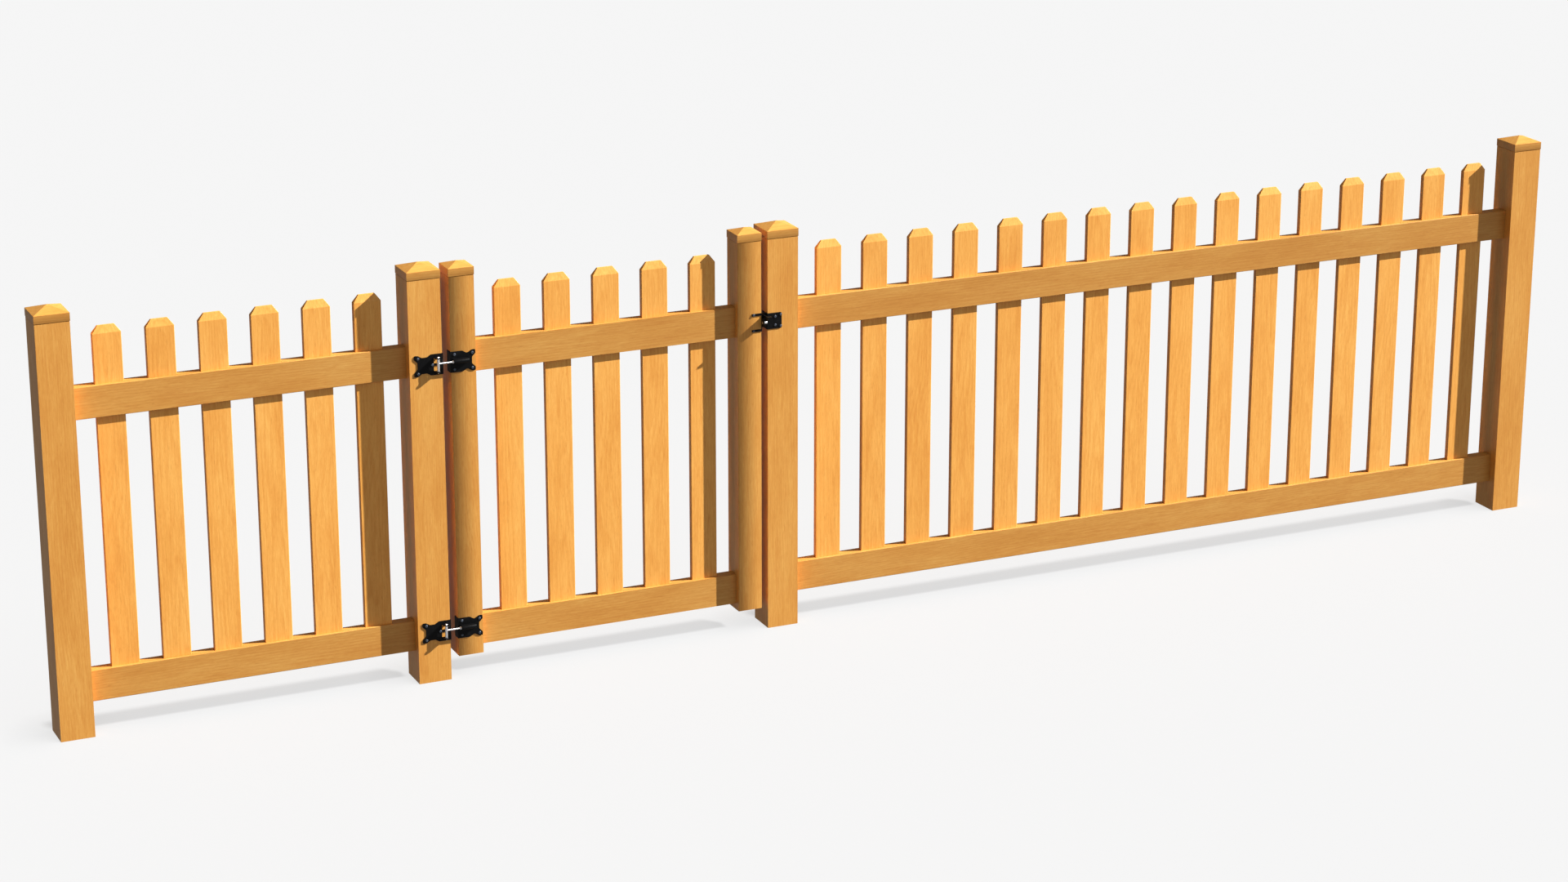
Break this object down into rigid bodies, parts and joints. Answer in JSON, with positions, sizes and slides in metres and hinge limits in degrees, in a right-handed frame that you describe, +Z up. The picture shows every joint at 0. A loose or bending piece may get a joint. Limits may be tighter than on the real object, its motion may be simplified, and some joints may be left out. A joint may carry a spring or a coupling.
{
  "type": "garden gate",
  "caption": "Timber picket gate leaf on two adjustable hinges with a drop latch, hung between fence panels with square capped posts.",
  "frame": {"origin": "centre of the hinge post's foot, on the ground", "axes": "+X along the fence from the hinge post through the gate leaf, +Y to the back (the leaf opens towards -Y), +Z up"},
  "size_m": [5.058, 0.1338, 1.2987],
  "materials": {
    "oiled_timber": "satin",
    "black_coated_steel": "satin",
    "bright_steel": "satin"
  },
  "bodies": {
    "fence": {"left_end_post": "oiled_timber", "hinge_post": "oiled_timber", "latch_post": "oiled_timber", "right_end_post": "oiled_timber", "left_end_post_cap": "oiled_timber", "hinge_post_cap": "oiled_timber", "latch_post_cap": "oiled_timber", "right_end_post_cap": "oiled_timber", "left_top_rail": "oiled_timber", "left_bottom_rail": "oiled_timber", "right_top_rail": "oiled_timber", "right_bottom_rail": "oiled_timber", "left_picket_01": "oiled_timber", "left_picket_02": "oiled_timber", "left_picket_03": "oiled_timber", "left_picket_04": "oiled_timber", "left_picket_05": "oiled_timber", "left_picket_06": "oiled_timber", "right_picket_01": "oiled_timber", "right_picket_02": "oiled_timber", "right_picket_03": "oiled_timber", "right_picket_04": "oiled_timber", "right_picket_05": "oiled_timber", "right_picket_06": "oiled_timber", "right_picket_07": "oiled_timber", "right_picket_08": "oiled_timber", "right_picket_09": "oiled_timber", "right_picket_10": "oiled_timber", "right_picket_11": "oiled_timber", "right_picket_12": "oiled_timber", "right_picket_13": "oiled_timber", "right_picket_14": "oiled_timber", "right_picket_15": "oiled_timber", "right_picket_16": "oiled_timber", "upper_hinge_post_leaf": "black_coated_steel", "lower_hinge_post_leaf": "black_coated_steel", "hinge_pins": "bright_steel", "latch_plate": "black_coated_steel", "latch_lever_pivot": "bright_steel", "fence_screws": "black_coated_steel"},
    "gate": {"gate_hinge_stile": "oiled_timber", "gate_latch_stile": "oiled_timber", "gate_hinge_stile_cap": "oiled_timber", "gate_latch_stile_cap": "oiled_timber", "gate_top_rail": "oiled_timber", "gate_bottom_rail": "oiled_timber", "gate_picket_01": "oiled_timber", "gate_picket_02": "oiled_timber", "gate_picket_03": "oiled_timber", "gate_picket_04": "oiled_timber", "gate_picket_05": "oiled_timber", "upper_hinge_gate_leaf": "black_coated_steel", "lower_hinge_gate_leaf": "black_coated_steel", "upper_hinge_rod": "bright_steel", "lower_hinge_rod": "bright_steel", "hinge_rod_nuts": "bright_steel", "striker": "black_coated_steel", "striker_pin": "bright_steel", "gate_screws": "black_coated_steel"},
    "latch_lever": {"latch_lever": "black_coated_steel"}
  },
  "joints": [
    {"name": "gate_swing", "type": "hinge", "parent": "fence", "child": "gate", "pos_m": [0.0337, -0.0643, 0.5782], "axis": [0, 0, -1], "range_deg": [0, 110]},
    {"name": "lever_drop", "type": "hinge", "parent": "fence", "child": "latch_lever", "pos_m": [1.086, -0.024, 1.0085], "axis": [1, 0, 0], "range_deg": [-15, 15]}
  ]
}
